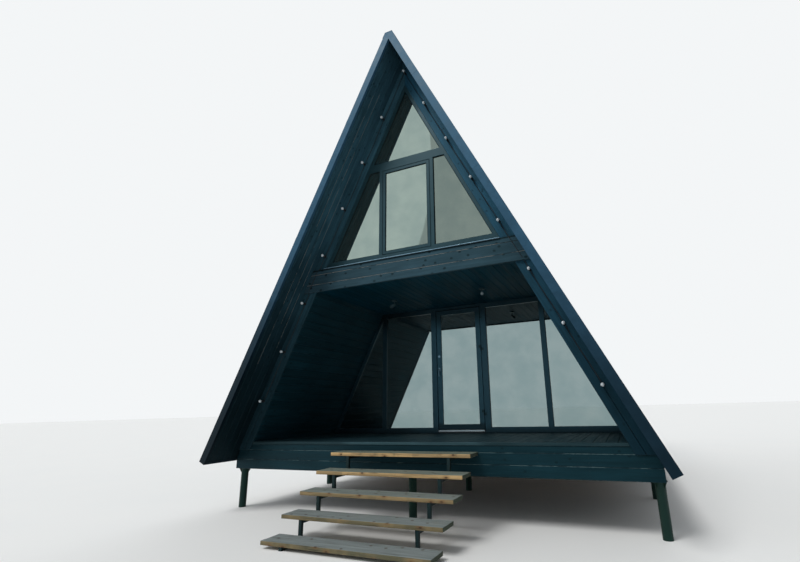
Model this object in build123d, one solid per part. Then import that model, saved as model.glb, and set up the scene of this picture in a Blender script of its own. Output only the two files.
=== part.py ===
from build123d import *
import math
import os

# A-frame cabin on steel piles: two steep roof slopes that are also the side walls, a glazed
# front gable with a covered porch under the loft, a boarded back gable and an open stair.
# All sizes are millimetres. X runs across the cabin, Y from the porch to the back, Z up.
# Heights named below as "above the deck line" start at the underside of the deck boards.

# Roof slopes
roof_pitch = 64.4
half_width = 3000.0
body_length = 7000.0
front_overhang = 560.0
rear_overhang = 560.0
eave_drop = 250.0
ridge_rise = 124.0

# Layers of a slope, from the room outwards
lining_thickness = 20.0
insulation_thickness = 180.0
soffit_thickness = 20.0
roof_deck_thickness = 58.0
sheet_thickness = 6.0
seam_height = 20.0
seam_width = 10.0
seam_spacing = 500.0

# Metal edge trims
trim_thickness = 6.0
trim_lip = 4.0
verge_lower_return = 40.0
verge_upper_return = 60.0
eave_return = 36.0
ridge_wing = 100.0

# Soffit boards
soffit_board = 115.0
soffit_gap = 5.0

# Casing boards on the two gables
casing_thickness = 25.0
casing_outer_board = 95.0
casing_gap = 3.0

# Floor
deck_thickness = 38.0
deck_nosing = 10.0
joist_width = 50.0
joist_height = 185.0
joist_spacing = 600.0
joist_end_gap = 10.0
bearer_width = 100.0
bearer_height = 175.0
bearer_end_gap = 12.0

# Piles
pile_diameter = 108.0
pile_cap_size = 150.0
pile_cap_thickness = 6.0
pile_rows = 4
pile_end_distance = 110.0

# Skirt boards under the deck
skirt_top_board = 84.0
skirt_board = 138.0
skirt_gap = 3.0
skirt_thickness = 25.0
skirt_end_reach = 90.0
skirt_clearance = 10.0

# Loft
ceiling_height = 2370.0
ceiling_thickness = 20.0
loft_thickness = 235.0
beam_drop = 22.0
beam_boards = (122.0, 158.0, 80.0)
beam_gap = 3.0
beam_thickness = 40.0
sill_thickness = 4.0
sill_overhang = 18.0
sill_lip = 16.0

# Upper window
window_setback = 10.0
window_depth = 70.0
window_edge = 55.0
window_foot_rail = 106.0
top_light_half = 600.0
transom_height = 140.0
sash_opening_half = 420.0
mullion_width = 60.0
sash_foot_lap = 23.0
sash_head_lap = 13.0
sash_gap = 0.3
sash_width = 54.0
sash_depth = 58.0
glass_thickness = 24.0

# Glass wall behind the porch
glazing_y = 2120.0
glazing_depth = 90.0
glazing_edge = 60.0
glazing_bottom_rail = 92.0
glazing_top_rail = 90.0
triangle_light_base = 1014.0
side_mullion_width = 90.0
jamb_width = 107.0

# Door
door_half_width = 440.0
door_gap = 9.0
door_profile = 90.0
door_depth = 60.0
door_setback = 5.0
door_head_depth = 53.0
threshold_height = 48.0
threshold_nose = 20.0
threshold_nose_height = 24.0
stop_lap = 25.0
stop_thickness = 19.0

# Door fittings
hinge_radius = 8.0
hinge_length = 100.0
hinge_split = 0.3
hinge_leaf = 40.0
hinge_leaf_lap = 4.0
hinge_axis_setout = 12.0
hinge_foot_rise = 235.0
hinge_head_drops = (228.0, 828.0)
handle_height = 1180.0
handle_plate_width = 30.0
handle_plate_height = 70.0
handle_plate_thickness = 8.0
handle_plate_corner = 12.0
lever_diameter = 18.0
lever_root_depth = 2.0
lever_reach = 46.0
lever_length = 130.0
lock_height = 1425.0
lock_diameter = 44.0
lock_thickness = 12.0

# Back gable
back_wall_thickness = 150.0
back_window_half = 750.0
back_window_bottom = 900.0
back_window_top = 2100.0
back_loft_window_half = 420.0
back_loft_window_sill = 475.0
back_loft_window_side = 202.0
back_frame_width = 70.0
back_frame_depth = 80.0
back_frame_setback = 8.0

# Stair
tread_count = 5
tread_width = 2036.0
tread_depth = 290.0
tread_thickness = 45.0
tread_run = 297.0
tread_rise = 197.5
tread_first_drop = 75.5
tread_skirt_gap = 2.0
stair_offset = -25.0
stringer_offset = -37.0
stringer_spacing = 1474.0
stringer_tube = 40.0
stringer_setback = 10.0

# Lights
lamp_base_diameter = 98.0
lamp_base_thickness = 22.0
lamp_stem_diameter = 16.0
lamp_stem_length = 66.0
lamp_head_diameter = 62.0
lamp_neck_diameter = 37.0
lamp_head_length = 96.0
lamp_rim_length = 34.0
lamp_pivot_reach = 20.0
lamp_turns = (-76.0, 17.0)
lamp_tilts = (30.0, 16.0)
lamp_offset = 822.0
lamp_y = 1130.0
bulb_radius = 22.5
bulb_neck_radius = 13.0
bulb_centre_reach = 85.0
socket_radius = 17.0
socket_length = 62.0
bulb_spacing = 844.0
bulb_slope_offset = 90.0
left_first_bulb = 1106.0
right_first_bulb = 238.0
left_bulb_count = 7
right_bulb_count = 8

# Sizes that follow from those above
pitch = math.radians(roof_pitch)
deck_line = tread_first_drop + (tread_count - 1) * tread_rise + tread_thickness + stringer_tube
apex_z = deck_line + half_width * math.tan(pitch)
ridge_z = apex_z + ridge_rise
slope_length = (half_width * math.tan(pitch) + eave_drop) / math.sin(pitch)
casing_width = lining_thickness + insulation_thickness
skirt_half_width = half_width + skirt_end_reach
bearer_offset = skirt_half_width - bearer_end_gap - bearer_width / 2
roof_deck_top = soffit_thickness + roof_deck_thickness
sheet_top = roof_deck_top + sheet_thickness
seam_top = sheet_top + seam_height
trim_top = seam_top + trim_lip
deck_top = deck_line + deck_thickness
joist_bottom = deck_line - joist_height
bearer_bottom = joist_bottom - bearer_height
pile_top = bearer_bottom - pile_cap_thickness
skirt_face = casing_thickness
skirt_back = skirt_face + skirt_thickness
ceiling_z = deck_line + ceiling_height
loft_bottom = ceiling_z + ceiling_thickness
loft_top = loft_bottom + loft_thickness
beam_bottom = ceiling_z - beam_drop
beam_top = beam_bottom + sum(beam_boards) + (len(beam_boards) - 1) * beam_gap
window_bottom = beam_top + window_foot_rail
window_tip = apex_z - (casing_width + window_edge) / math.cos(pitch)
transom_top = window_tip - top_light_half * math.tan(pitch)
transom_bottom = transom_top - transom_height
sash_opening_bottom = window_bottom - sash_foot_lap
sash_opening_top = transom_bottom - sash_head_lap
back_loft_window_bottom = loft_top + back_loft_window_sill
back_wall_tip = apex_z - casing_width / math.cos(pitch)
back_loft_window_reach = back_loft_window_half + back_loft_window_side
back_loft_window_top = back_wall_tip - back_loft_window_reach * math.tan(pitch)
jamb_inner = door_half_width + door_gap
jamb_outer = jamb_inner + jamb_width
door_bottom = deck_top + threshold_height + door_gap
door_head_bottom = ceiling_z - door_head_depth
door_top = door_head_bottom - door_gap
door_face = glazing_y + door_setback
door_back = door_face + door_depth
hinge_x = door_half_width + door_gap / 2
hinge_y = glazing_y - hinge_axis_setout
hinge_places = [door_bottom + hinge_foot_rise] + [door_top - drop for drop in hinge_head_drops]
first_tread_front = skirt_face - tread_skirt_gap - tread_depth
stair_reach = -(first_tread_front - (tread_count - 1) * tread_run)
front_y = (stair_reach - body_length - rear_overhang) / 2


# The slope: distance down it from the apex, and offset square to it, positive outwards


def slope_point(down, offset):
    """The (x, z) of a point on the right slope."""
    x = down * math.cos(pitch) + offset * math.sin(pitch)
    z = apex_z - down * math.sin(pitch) + offset * math.cos(pitch)
    return x, z


def slope_x(z, offset):
    """How far from the middle the right slope lies at a height."""
    return (apex_z - z) / math.tan(pitch) + offset / math.sin(pitch)


def apex_height(offset):
    """Height at which the two slopes meet, at an offset."""
    return apex_z + offset / math.cos(pitch)


def along_y(outline, y_start, y_end):
    """A prism with an (x, z) outline between two distances from the front."""
    face = Plane((0, y_start, 0), x_dir=(1, 0, 0), z_dir=(0, -1, 0)) * make_face(
        Polyline(*outline, close=True)
    )
    return extrude(face, amount=y_end - y_start, dir=(0, 1, 0))


def block(x_range, y_range, z_range):
    """A square-edged piece between three pairs of limits."""
    size = (x_range[1] - x_range[0], y_range[1] - y_range[0], z_range[1] - z_range[0])
    low = (x_range[0], y_range[0], z_range[0])
    return Pos(*low) * Box(*size, align=(Align.MIN, Align.MIN, Align.MIN))


def slope_top(inner, outer, top):
    """The upper points of a layer's outline, cut level at a height or mitred at the middle."""
    top = min(top, apex_height(outer))
    points = []
    if slope_x(top, outer) > 0.01:
        points.append((slope_x(top, outer), top))
    if apex_height(inner) < top:
        points += [(0, top), (0, apex_height(inner))]
    else:
        points.append((slope_x(top, inner), top))
    return points


def roof_layer(inner, outer, y_start, y_end, down=slope_length, top=ridge_z):
    """A layer of the right slope, cut square to the slope at its foot."""
    foot = [slope_point(down, inner), slope_point(down, outer)]
    return along_y(foot + slope_top(inner, outer, top), y_start, y_end)


def wall_layer(inner, outer, y_start, y_end, foot=deck_line):
    """A layer of the right slope that stands level on the floor."""
    feet = [(slope_x(foot, inner), foot), (slope_x(foot, outer), foot)]
    return along_y(feet + slope_top(inner, outer, ridge_z), y_start, y_end)


def tent(offset, foot, y_start, y_end, top=None):
    """The whole width between the two slopes at an offset, above a height."""
    outline = [(-slope_x(foot, offset), foot), (slope_x(foot, offset), foot)]
    if top is None:
        outline.append((0, apex_height(offset)))
    else:
        outline += [(slope_x(top, offset), top), (-slope_x(top, offset), top)]
    return along_y(outline, y_start, y_end)


def left_of(shape):
    """The same piece on the left slope."""
    return mirror(shape, about=Plane.YZ)


def both_sides(shape):
    return [left_of(shape), shape]


# Foundation and floor


def piles(rows):
    """Round steel piles with their square head plates, three to a row."""
    pitch_y = (body_length - 2 * (skirt_back + pile_end_distance)) / (pile_rows - 1)
    pieces = []
    for row in rows:
        for x in (-bearer_offset, 0, bearer_offset):
            place = Pos(x, skirt_back + pile_end_distance + row * pitch_y, 0)
            shaft = Cylinder(
                pile_diameter / 2, pile_top, align=(Align.CENTER, Align.CENTER, Align.MIN)
            )
            cap = Pos(0, 0, pile_top) * Box(
                pile_cap_size,
                pile_cap_size,
                pile_cap_thickness,
                align=(Align.CENTER, Align.CENTER, Align.MIN),
            )
            pieces.append(place * (shaft + cap))
    return pieces


def floor_bearers():
    pieces = []
    for x in (-bearer_offset, 0, bearer_offset):
        across = (x - bearer_width / 2, x + bearer_width / 2)
        along = (skirt_back, body_length - skirt_back)
        pieces.append(block(across, along, (bearer_bottom, joist_bottom)))
    return pieces


def floor_joists():
    """Joists across the cabin, their ends cut along the slopes."""
    length = body_length - 2 * skirt_back - joist_width
    count = math.ceil(length / joist_spacing) + 1
    pieces = []
    for index in range(count):
        y = skirt_back + index * length / (count - 1)
        pieces.append(tent(-joist_end_gap, joist_bottom, y, y + joist_width, top=deck_line))
    return pieces


def floor_slab(y_start, y_end):
    return tent(-casing_width, deck_line, y_start, y_end, top=deck_top)


def skirt(y_start, y_end):
    """Three boards under the deck, their ends trimmed under the roof overhang."""
    trimmed = tent(-skirt_clearance, bearer_bottom - skirt_board, y_start, y_end)
    pieces = []
    top = deck_line
    for height in (skirt_top_board, skirt_board, skirt_board):
        across = (-skirt_half_width, skirt_half_width)
        pieces.append(block(across, (y_start, y_end), (top - height, top)) & trimmed)
        top -= height + skirt_gap
    return pieces


# Slopes


def roof_panel():
    y_end = body_length - casing_thickness
    return wall_layer(-insulation_thickness, soffit_thickness, casing_thickness, y_end)


def lining():
    y_end = body_length - casing_thickness
    return wall_layer(-casing_width, -insulation_thickness, casing_thickness, y_end)


def roof_deck():
    y_start = trim_thickness - front_overhang
    y_end = body_length + rear_overhang - trim_thickness
    down = slope_length - trim_thickness
    return roof_layer(soffit_thickness, roof_deck_top, y_start, y_end, down)


def soffit_boards(overhang):
    """Boards up the slope under an overhang, from the gable to the verge trim."""
    edge = overhang - trim_thickness
    down = slope_length - trim_thickness
    pieces = []
    start = 0.0
    while start < edge:
        end = min(start + soffit_board, edge)
        seat = casing_thickness if start == 0 else 0.0
        pieces.append(roof_layer(0, soffit_thickness, -end, -start + seat, down))
        start += soffit_board + soffit_gap
    return pieces


def rear_soffit_boards():
    turned = [mirror(board, about=Plane.XZ) for board in soffit_boards(rear_overhang)]
    return [Pos(0, body_length, 0) * board for board in turned]


def roof_sheet():
    """Standing-seam sheet: a skin with seams up the slope at an even spacing."""
    y_start = trim_thickness - front_overhang
    y_end = body_length + rear_overhang - trim_thickness
    down = slope_length - trim_thickness
    sheet = roof_layer(roof_deck_top, sheet_top, y_start, y_end, down)
    first = y_start + verge_upper_return
    last = y_end - verge_upper_return
    count = round((last - first) / seam_spacing)
    for index in range(count + 1):
        y = first + index * (last - first) / count
        seam = roof_layer(sheet_top, seam_top, y - seam_width / 2, y + seam_width / 2, down)
        sheet += seam
    return sheet


def ridge_cap():
    """Flat-topped folded cap with a wing down each slope."""
    inner_wing = slope_point(slope_down(ridge_z, trim_top) + ridge_wing, trim_top)
    outer_wing = slope_point(slope_down(ridge_z, trim_top) + ridge_wing, trim_top + trim_thickness)
    inner_top = (slope_x(ridge_z, trim_top), ridge_z)
    outer_z = ridge_z + trim_thickness
    outer_top = (slope_x(outer_z, trim_top + trim_thickness), outer_z)
    right = [inner_top, inner_wing, outer_wing, outer_top]
    left = [(-x, z) for x, z in reversed(right)]
    return along_y(right + left, -front_overhang, body_length + rear_overhang)


def slope_down(z, offset):
    """Distance down the slope at which an offset line reaches a height."""
    return (apex_z - z + offset * math.cos(pitch)) / math.sin(pitch)


def verge_trim(y_edge, inwards):
    """Folded metal along the gable edge of a slope: a face, an upper and a lower return."""
    face = roof_layer(-trim_lip, trim_top, *sorted((y_edge, y_edge + inwards * trim_thickness)))
    turn = y_edge + inwards * trim_thickness
    upper = sorted((turn, turn + inwards * verge_upper_return))
    lower = sorted((turn, turn + inwards * verge_lower_return))
    face += roof_layer(seam_top, trim_top, *upper)
    face += roof_layer(-trim_lip, 0, *lower)
    return face


def eave_trim():
    """Folded metal that closes the foot of a slope between the two verges."""
    y_start = trim_thickness - front_overhang
    y_end = body_length + rear_overhang - trim_thickness
    start = slope_length - trim_thickness
    face = along_y(
        [
            slope_point(start, 0),
            slope_point(slope_length, 0),
            slope_point(slope_length, seam_top),
            slope_point(start, seam_top),
        ],
        y_start,
        y_end,
    )
    lip_start = -front_overhang + trim_thickness + verge_lower_return
    lip_end = body_length + rear_overhang - trim_thickness - verge_lower_return
    lip = along_y(
        [
            slope_point(start - eave_return, -trim_lip),
            slope_point(slope_length, -trim_lip),
            slope_point(slope_length, 0),
            slope_point(start - eave_return, 0),
        ],
        lip_start,
        lip_end,
    )
    return face + lip


def casing(y_start, y_end):
    """Two boards side by side up a slope, on the face of a gable."""
    foot = deck_line - skirt_top_board - skirt_gap
    outer = wall_layer(-casing_outer_board, 0, y_start, y_end, foot)
    inner_edge = casing_outer_board + casing_gap
    inner = wall_layer(-casing_width, -inner_edge, y_start, y_end, foot)
    return [outer, inner]


# Loft


def loft_beam():
    """Three boards across the gable at loft level, on the face of the casings."""
    pieces = []
    bottom = beam_bottom
    for height in beam_boards:
        top = bottom + height
        pieces.append(tent(-beam_gap, bottom, -beam_thickness, 0, top))
        bottom = top + beam_gap
    return pieces


def window_sill():
    """Folded sill on the loft beam with a turned-down front edge."""
    half = slope_x(beam_top + sill_thickness, -casing_width)
    front = -beam_thickness - sill_overhang
    plate = block((-half, half), (front, window_setback), (beam_top, beam_top + sill_thickness))
    lip = block((-half, half), (front, front + sill_thickness), (beam_top - sill_lip, beam_top))
    return plate + lip


def loft_floor():
    y_end = body_length - casing_thickness - back_wall_thickness
    return tent(-casing_width, loft_bottom, 0, y_end, top=loft_top)


def ceiling():
    y_end = body_length - casing_thickness - back_wall_thickness
    return tent(-casing_width, ceiling_z, 0, y_end, top=loft_bottom)


# Upper window


def fixed_lights():
    """Outlines of the three fixed panes: right, left and the triangle on top."""
    edge = -casing_width - window_edge
    low = window_bottom
    high = transom_bottom
    mullion_x = sash_opening_half + mullion_width
    right = [
        (mullion_x, low),
        (slope_x(low, edge), low),
        (slope_x(high, edge), high),
        (mullion_x, high),
    ]
    left = [(-x, z) for x, z in reversed(right)]
    top = [(-top_light_half, transom_top), (top_light_half, transom_top), (0, window_tip)]
    return right, left, top


def upper_window_frame():
    """Gable frame with two mullions and a transom, cut out of one outline."""
    y_start = window_setback
    y_end = window_setback + window_depth
    frame = tent(-casing_width, loft_top, y_start, y_end)
    for outline in fixed_lights():
        frame -= along_y(outline, y_start, y_end)
    across = (-sash_opening_half, sash_opening_half)
    up = (sash_opening_bottom, sash_opening_top)
    return frame - block(across, (y_start, y_end), up)


def sash_limits(inset):
    """X and Z limits of the opening sash, at a distance inside its opening."""
    half = sash_opening_half - inset
    low = sash_opening_bottom + inset
    high = sash_opening_top - inset
    return (-half, half), (low, high)


def upper_sash():
    depth = (window_setback, window_setback + sash_depth)
    across, up = sash_limits(sash_gap)
    inner_across, inner_up = sash_limits(sash_gap + sash_width)
    return block(across, depth, up) - block(inner_across, depth, inner_up)


def upper_glass():
    y_start = window_setback + (window_depth - glass_thickness) / 2
    y_end = y_start + glass_thickness
    panes = [along_y(outline, y_start, y_end) for outline in fixed_lights()]
    across, up = sash_limits(sash_gap + sash_width)
    sash_y = window_setback + (sash_depth - glass_thickness) / 2
    panes.append(block(across, (sash_y, sash_y + glass_thickness), up))
    return panes


# Glass wall and door


def side_lights():
    """Outlines of the two panes right of the door: the fixed one and the triangle."""
    low = deck_top + glazing_bottom_rail
    high = ceiling_z - glazing_top_rail
    edge = -casing_width - glazing_edge
    outer = slope_x(low, edge) - triangle_light_base
    inner = outer - side_mullion_width
    tip = low + triangle_light_base * math.tan(pitch)
    fixed = [(jamb_outer, low), (inner, low), (inner, high), (jamb_outer, high)]
    triangle = [(outer, low), (outer + triangle_light_base, low), (outer, tip)]
    return fixed, triangle


def side_glazing():
    """Frame right of the door, from its jamb to the slope, with the door stop on the jamb."""
    y_end = glazing_y + glazing_depth
    outline = [
        (jamb_inner, deck_top),
        (slope_x(deck_top, -casing_width), deck_top),
        (slope_x(ceiling_z, -casing_width), ceiling_z),
        (jamb_inner, ceiling_z),
    ]
    frame = along_y(outline, glazing_y, y_end)
    for light in side_lights():
        frame -= along_y(light, glazing_y, y_end)
    stop_x = (jamb_inner - stop_lap, jamb_inner)
    stop_z = (deck_top + threshold_height, door_head_bottom)
    return frame + block(stop_x, (y_end - stop_thickness, y_end), stop_z)


def side_glass():
    y_start = glazing_y + (glazing_depth - glass_thickness) / 2
    return [along_y(light, y_start, y_start + glass_thickness) for light in side_lights()]


def door_head():
    """Frame over the door with its stop."""
    y_end = glazing_y + glazing_depth
    across = (-jamb_inner, jamb_inner)
    head = block(across, (glazing_y, y_end), (door_head_bottom, ceiling_z))
    inner = (-jamb_inner + stop_lap, jamb_inner - stop_lap)
    stop_z = (door_head_bottom - stop_lap, door_head_bottom)
    return head + block(inner, (y_end - stop_thickness, y_end), stop_z)


def threshold():
    """Step under the door with a sloped nose in front and a stop behind."""
    top = deck_top + threshold_height
    y_end = glazing_y + glazing_depth
    outline = [
        (glazing_y - threshold_nose, deck_top),
        (y_end, deck_top),
        (y_end, top + stop_lap),
        (y_end - stop_thickness, top + stop_lap),
        (y_end - stop_thickness, top),
        (glazing_y, top),
        (glazing_y - threshold_nose, deck_top + threshold_nose_height),
    ]
    inner = jamb_inner - stop_lap
    profile = Plane.YZ * make_face(Polyline(*outline, close=True))
    middle = extrude(profile, amount=inner, both=True)
    wide = block((-jamb_inner, jamb_inner), (glazing_y, y_end), (deck_top, top))
    return middle + wide


def door_leaf():
    across = (-door_half_width, door_half_width)
    leaf = block(across, (door_face, door_back), (door_bottom, door_top))
    inner_across, inner_up = door_light()
    return leaf - block(inner_across, (door_face, door_back), inner_up)


def door_light():
    half = door_half_width - door_profile
    return (-half, half), (door_bottom + door_profile, door_top - door_profile)


def door_glass():
    across, up = door_light()
    y_start = door_face + (door_depth - glass_thickness) / 2
    return block(across, (y_start, y_start + glass_thickness), up)


def hinge_half(bottom, side, seat_y):
    """A knuckle on the hinge axis with a leaf on one side, screwed to the face behind it."""
    height = (hinge_length - hinge_split) / 2
    knuckle = Pos(hinge_x, hinge_y, bottom) * Cylinder(
        hinge_radius, height, align=(Align.CENTER, Align.CENTER, Align.MIN)
    )
    start = hinge_x + side * door_gap / 2
    across = sorted((start, start + side * hinge_leaf))
    leaf_y = hinge_y + hinge_radius - hinge_leaf_lap
    return knuckle + block(across, (leaf_y, seat_y), (bottom, bottom + height))


def jamb_hinges():
    return [hinge_half(z, 1, glazing_y) for z in hinge_places]


def door_hinges():
    rise = (hinge_length + hinge_split) / 2
    return [hinge_half(z + rise, -1, door_face) for z in hinge_places]


def handle_set(face_y, outwards):
    """Small plate with a lever that hangs down, and a round lock cover above it."""
    x = -door_half_width + door_profile / 2
    z = deck_line + handle_height
    start, end = sorted((face_y, face_y + outwards * handle_plate_thickness))
    outline = RectangleRounded(handle_plate_width, handle_plate_height, handle_plate_corner)
    plate = extrude(Pos(x, start, z) * Rot(-90, 0, 0) * outline, amount=end - start)
    elbow = (x, face_y + outwards * lever_reach, z)
    root = (x, face_y + outwards * (handle_plate_thickness - lever_root_depth), z)
    path = Polyline(root, elbow, (*elbow[:2], z - lever_length))
    start = Plane(path @ 0, z_dir=path % 0)
    lever = sweep(start * Circle(lever_diameter / 2), path, transition=Transition.ROUND)
    lock_y = face_y + outwards * lock_thickness / 2
    lock = Pos(x, lock_y, deck_line + lock_height) * Rot(90, 0, 0) * Cylinder(
        lock_diameter / 2, lock_thickness
    )
    return [plate + lever, lock]


def door_handles():
    return handle_set(door_face, -1) + handle_set(door_back, 1)


# Back gable


def back_openings():
    """X and Z limits of the two windows in the back gable."""
    lower = (
        (-back_window_half, back_window_half),
        (deck_line + back_window_bottom, deck_line + back_window_top),
    )
    upper = (
        (-back_loft_window_half, back_loft_window_half),
        (back_loft_window_bottom, back_loft_window_top),
    )
    return lower, upper


def back_layer(y_start, y_end, foot):
    wall = tent(-casing_width, foot, y_start, y_end)
    for across, up in back_openings():
        wall -= block(across, (y_start, y_end), up)
    return wall


def back_wall():
    y_end = body_length - casing_thickness
    return back_layer(y_end - back_wall_thickness, y_end, deck_top)


def back_cladding():
    return back_layer(body_length - casing_thickness, body_length, deck_line)


def back_lights():
    """Limits of the panes: two in the lower window, one in the upper."""
    (lower_x, lower_z), (upper_x, upper_z) = back_openings()
    width = back_frame_width
    low = (lower_z[0] + width, lower_z[1] - width)
    lights = [((lower_x[0] + width, -width / 2), low), ((width / 2, lower_x[1] - width), low)]
    lights.append(((upper_x[0] + width, upper_x[1] - width), (upper_z[0] + width, upper_z[1] - width)))
    return lights


def back_window_frames():
    y_end = body_length - back_frame_setback
    depth = (y_end - back_frame_depth, y_end)
    lower, upper = [block(across, depth, up) for across, up in back_openings()]
    left, right, top = [block(across, depth, up) for across, up in back_lights()]
    return [lower - left - right, upper - top]


def back_glass():
    y_start = body_length - back_frame_setback - (back_frame_depth + glass_thickness) / 2
    depth = (y_start, y_start + glass_thickness)
    return [block(across, depth, up) for across, up in back_lights()]


# Stair


def tread_place(index):
    """Front edge and top of a tread."""
    y = first_tread_front - index * tread_run
    z = deck_line - tread_first_drop - index * tread_rise
    return y, z


def stair_treads():
    pieces = []
    across = (stair_offset - tread_width / 2, stair_offset + tread_width / 2)
    for index in range(tread_count):
        y, z = tread_place(index)
        pieces.append(block(across, (y, y + tread_depth), (z - tread_thickness, z)))
    return pieces


def stringer(side):
    """Sawtooth of square tube: a run under each tread and a rise between two."""
    x = stringer_offset + side * stringer_spacing / 2
    across = (x - stringer_tube / 2, x + stringer_tube / 2)
    body = Part()
    for index in range(tread_count):
        y, z = tread_place(index)
        top = z - tread_thickness
        front = y + stringer_setback
        back = skirt_face if index == 0 else front + tread_run + stringer_tube
        body += block(across, (front, back), (top - stringer_tube, top))
        if index < tread_count - 1:
            body += block(across, (front, front + stringer_tube), (top - tread_rise, top))
    return body


# Lights


def lamp_head():
    """Round body about the Z axis with its pivot at the origin and its mouth downwards."""
    back = lamp_pivot_reach
    mouth = lamp_pivot_reach - lamp_head_length
    profile = Polyline(
        (0, mouth),
        (lamp_head_diameter / 2, mouth),
        (lamp_head_diameter / 2, mouth + lamp_rim_length),
        (lamp_neck_diameter / 2, back),
        (0, back),
        close=True,
    )
    return revolve(Plane.XZ * make_face(profile), axis=Axis.Z)


def porch_lamps():
    """Ceiling spot lamps: a round base, a short stem and a head turned its own way."""
    pieces = []
    for side, turn, tilt in zip((-1, 1), lamp_turns, lamp_tilts):
        lamp = Pos(0, 0, -lamp_base_thickness / 2) * Cylinder(
            lamp_base_diameter / 2, lamp_base_thickness
        )
        pivot_z = -lamp_base_thickness - lamp_stem_length
        lamp += Pos(0, 0, pivot_z) * Cylinder(
            lamp_stem_diameter / 2,
            lamp_stem_length,
            align=(Align.CENTER, Align.CENTER, Align.MIN),
        )
        lamp += Pos(0, 0, pivot_z) * Rot(0, 0, turn) * Rot(tilt - 90, 0, 0) * lamp_head()
        pieces.append(Pos(side * lamp_offset, lamp_y, ceiling_z) * lamp)
    return pieces


def all_bulb_places():
    """The (x, z) of each bulb, down both casings at an even spacing."""
    places = []
    for first, count, side in (
        (left_first_bulb, left_bulb_count, -1),
        (right_first_bulb, right_bulb_count, 1),
    ):
        for index in range(count):
            x, z = slope_point(first + index * bulb_spacing, -bulb_slope_offset)
            places.append((side * x, z))
    return places


def bulb_holders():
    """Round sockets on the casings, one for each bulb."""
    socket = Rot(90, 0, 0) * Cylinder(
        socket_radius, socket_length, align=(Align.CENTER, Align.CENTER, Align.MIN)
    )
    return [Pos(x, 0, z) * socket for x, z in all_bulb_places()]


def bulb():
    """Globe on a round neck, pointing away from the gable."""
    neck_length = bulb_centre_reach - socket_length
    neck = Cylinder(bulb_neck_radius, neck_length, align=(Align.CENTER, Align.CENTER, Align.MIN))
    return Pos(0, -bulb_centre_reach, 0) * (Sphere(bulb_radius) + Rot(-90, 0, 0) * neck)


def bulbs():
    shape = bulb()
    return [Pos(x, 0, z) * shape for x, z in all_bulb_places()]


# Export


def collect(pieces):
    """One shape from a single piece or from several that don't touch."""
    if isinstance(pieces, list):
        return Compound(children=[Compound(piece.wrapped).solid() for piece in pieces])
    return Compound(pieces.wrapped).solid()


def build():
    rear = body_length + rear_overhang
    back = body_length - skirt_back
    return {
        "front_piles": piles([0]),
        "inner_piles": piles(range(1, pile_rows - 1)),
        "rear_piles": piles([pile_rows - 1]),
        "floor_bearers": floor_bearers(),
        "floor_joists": floor_joists(),
        "porch_deck": floor_slab(skirt_face - deck_nosing, glazing_y + glazing_depth),
        "room_floor": floor_slab(glazing_y + glazing_depth, body_length - casing_thickness),
        "front_skirt": skirt(skirt_face, skirt_back),
        "rear_skirt": skirt(back, back + skirt_thickness),
        "left_roof_panel": left_of(roof_panel()),
        "right_roof_panel": roof_panel(),
        "left_lining": left_of(lining()),
        "right_lining": lining(),
        "left_roof_deck": left_of(roof_deck()),
        "right_roof_deck": roof_deck(),
        "left_soffit": [left_of(b) for b in soffit_boards(front_overhang) + rear_soffit_boards()],
        "right_soffit": soffit_boards(front_overhang) + rear_soffit_boards(),
        "left_roof_sheet": left_of(roof_sheet()),
        "right_roof_sheet": roof_sheet(),
        "ridge_cap": ridge_cap(),
        "front_verges": both_sides(verge_trim(-front_overhang, 1)),
        "rear_verges": both_sides(verge_trim(rear, -1)),
        "eave_trims": both_sides(eave_trim()),
        "left_casing": [left_of(board) for board in casing(0, casing_thickness)],
        "right_casing": casing(0, casing_thickness),
        "left_rear_casing": [left_of(b) for b in casing(body_length - casing_thickness, body_length)],
        "right_rear_casing": casing(body_length - casing_thickness, body_length),
        "loft_beam": loft_beam(),
        "window_sill": window_sill(),
        "loft_floor": loft_floor(),
        "ceiling": ceiling(),
        "upper_window_frame": upper_window_frame(),
        "upper_sash": upper_sash(),
        "upper_glass": upper_glass(),
        "left_glazing_frame": left_of(side_glazing()),
        "right_glazing_frame": side_glazing(),
        "door_head": door_head(),
        "threshold": threshold(),
        "side_glass": [pane for light in side_glass() for pane in both_sides(light)],
        "door_leaf": door_leaf(),
        "door_glass": door_glass(),
        "door_handles": door_handles(),
        "door_hinges": door_hinges(),
        "jamb_hinges": jamb_hinges(),
        "back_wall": back_wall(),
        "back_cladding": back_cladding(),
        "back_window_frames": back_window_frames(),
        "back_glass": back_glass(),
        "stair_treads": stair_treads(),
        "left_stringer": stringer(-1),
        "right_stringer": stringer(1),
        "porch_lamps": porch_lamps(),
        "bulb_holders": bulb_holders(),
        "bulbs": bulbs(),
    }


os.makedirs("parts", exist_ok=True)
for name, pieces in build().items():
    export_step(Pos(0, front_y, 0) * collect(pieces), f"parts/{name}.step")
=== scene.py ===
import math
import random

import bmesh
import bpy
from mathutils import Matrix, Vector


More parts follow.
